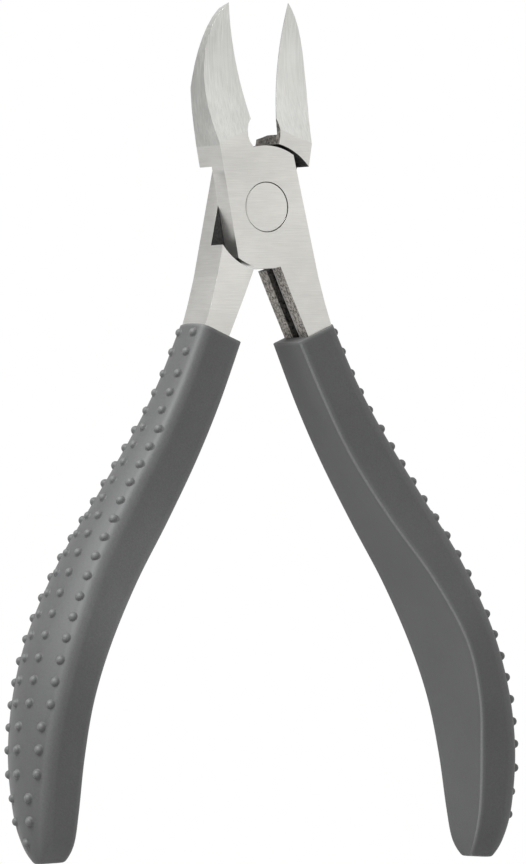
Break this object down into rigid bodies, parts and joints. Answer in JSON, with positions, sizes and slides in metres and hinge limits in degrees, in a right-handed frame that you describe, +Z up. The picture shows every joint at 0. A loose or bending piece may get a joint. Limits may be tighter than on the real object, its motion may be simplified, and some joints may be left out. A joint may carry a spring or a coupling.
{
  "type": "nail nipper",
  "caption": "Plier-type nail nipper with lap-jointed steel jaws, a flush rivet, a concealed return spring and soft dotted grip sleeves, jaws open.",
  "frame": {"origin": "centre of the bounding box at its bottom, midway between the two handle ends", "axes": "+Z up along the tool to the jaw tips, +X to the right with the rivet facing the viewer, +Y towards the back along the pivot axis"},
  "size_m": [0.0864, 0.016, 0.1261],
  "materials": {
    "satin_steel": "fine satin, ground jaws brushed lengthwise",
    "rivet_steel": "satin",
    "spring_steel": "drawn wire, bare",
    "soft_grip": "matte, with raised dots on the palm side"
  },
  "bodies": {
    "front_half": {"front_lever": "satin_steel", "pivot_rivet": "rivet_steel", "right_grip": "soft_grip", "return_spring": "spring_steel"},
    "rear_half": {"rear_lever": "satin_steel", "left_grip": "soft_grip"}
  },
  "joints": [
    {"name": "pivot", "type": "hinge", "parent": "front_half", "child": "rear_half", "pos_m": [0, 0, 0.096], "axis": [0, -1, 0], "range_deg": [0, 19.4], "stiffness_Nm_per_rad": 1.5, "springref_deg": -8.59, "deforming": ["return_spring"]}
  ]
}
